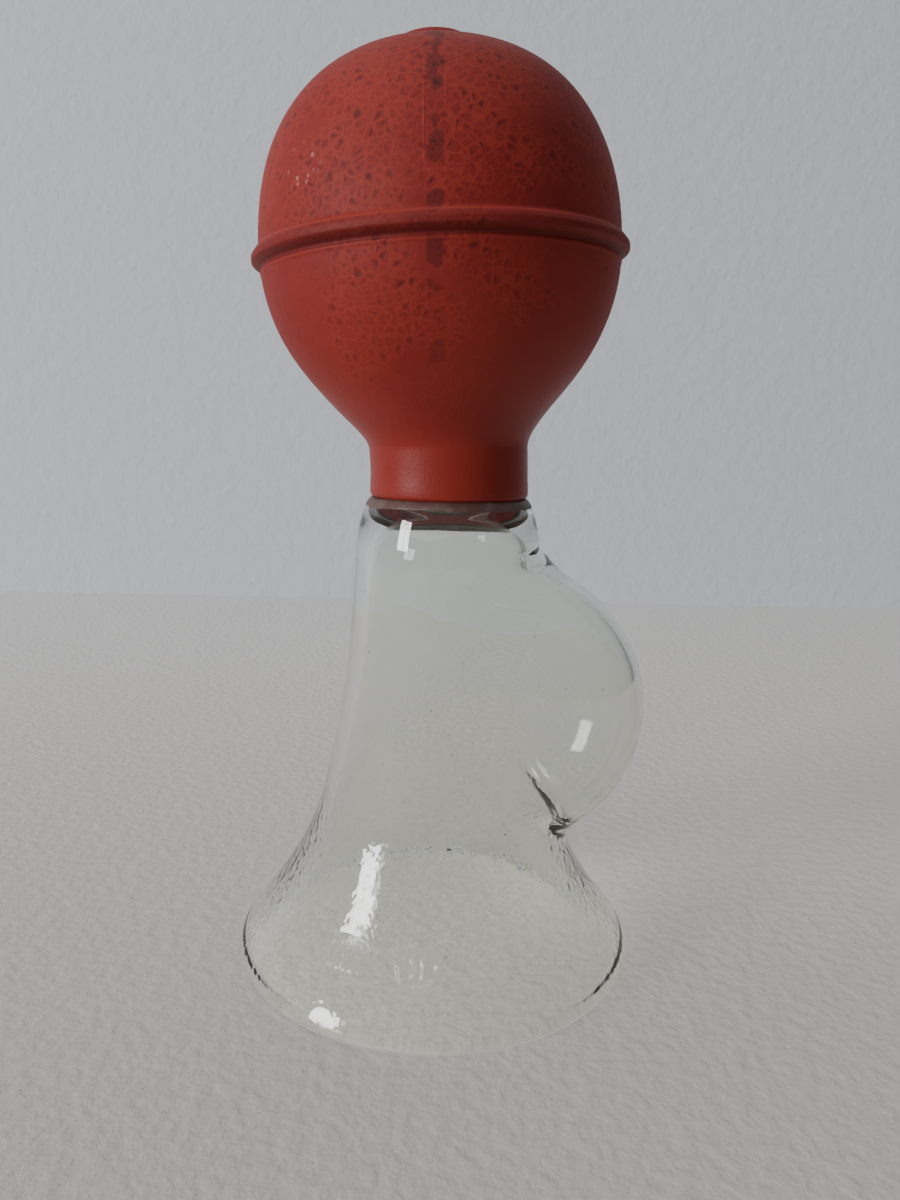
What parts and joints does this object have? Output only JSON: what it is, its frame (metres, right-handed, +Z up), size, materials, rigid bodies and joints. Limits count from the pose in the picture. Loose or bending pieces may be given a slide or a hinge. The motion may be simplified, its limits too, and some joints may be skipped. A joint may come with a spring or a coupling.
{
  "type": "hand breast pump",
  "caption": "Hand breast pump: a clear glass bell with a flared mouth and a side reservoir lobe, worked by a rubber squeeze bulb pushed over its neck.",
  "frame": {"origin": "centre of the mouth, on the plane that the mouth rests on", "axes": "+Z up along the axis of the bell, neck and bulb; +X towards the reservoir lobe"},
  "size_m": [0.065, 0.065, 0.1398],
  "materials": {
    "glass": "clear moulded glass, faintly green where it is thick",
    "rubber": "matte terracotta red natural rubber with a mottled bloom"
  },
  "bodies": {
    "glass": {"glass_bell": "glass"},
    "bulb": {"rubber_bulb": "rubber"},
    "crown": {"bulb_crown": "rubber"}
  },
  "joints": [
    {"name": "bulb_pull_off", "type": "slide", "parent": "glass", "child": "bulb", "axis": [0, 0, 1], "range_m": [0, 0.03]},
    {"name": "bulb_squeeze", "type": "slide", "parent": "bulb", "child": "crown", "axis": [0, 0, -1], "range_m": [0, 0.014], "stiffness_N_per_m": 600}
  ]
}
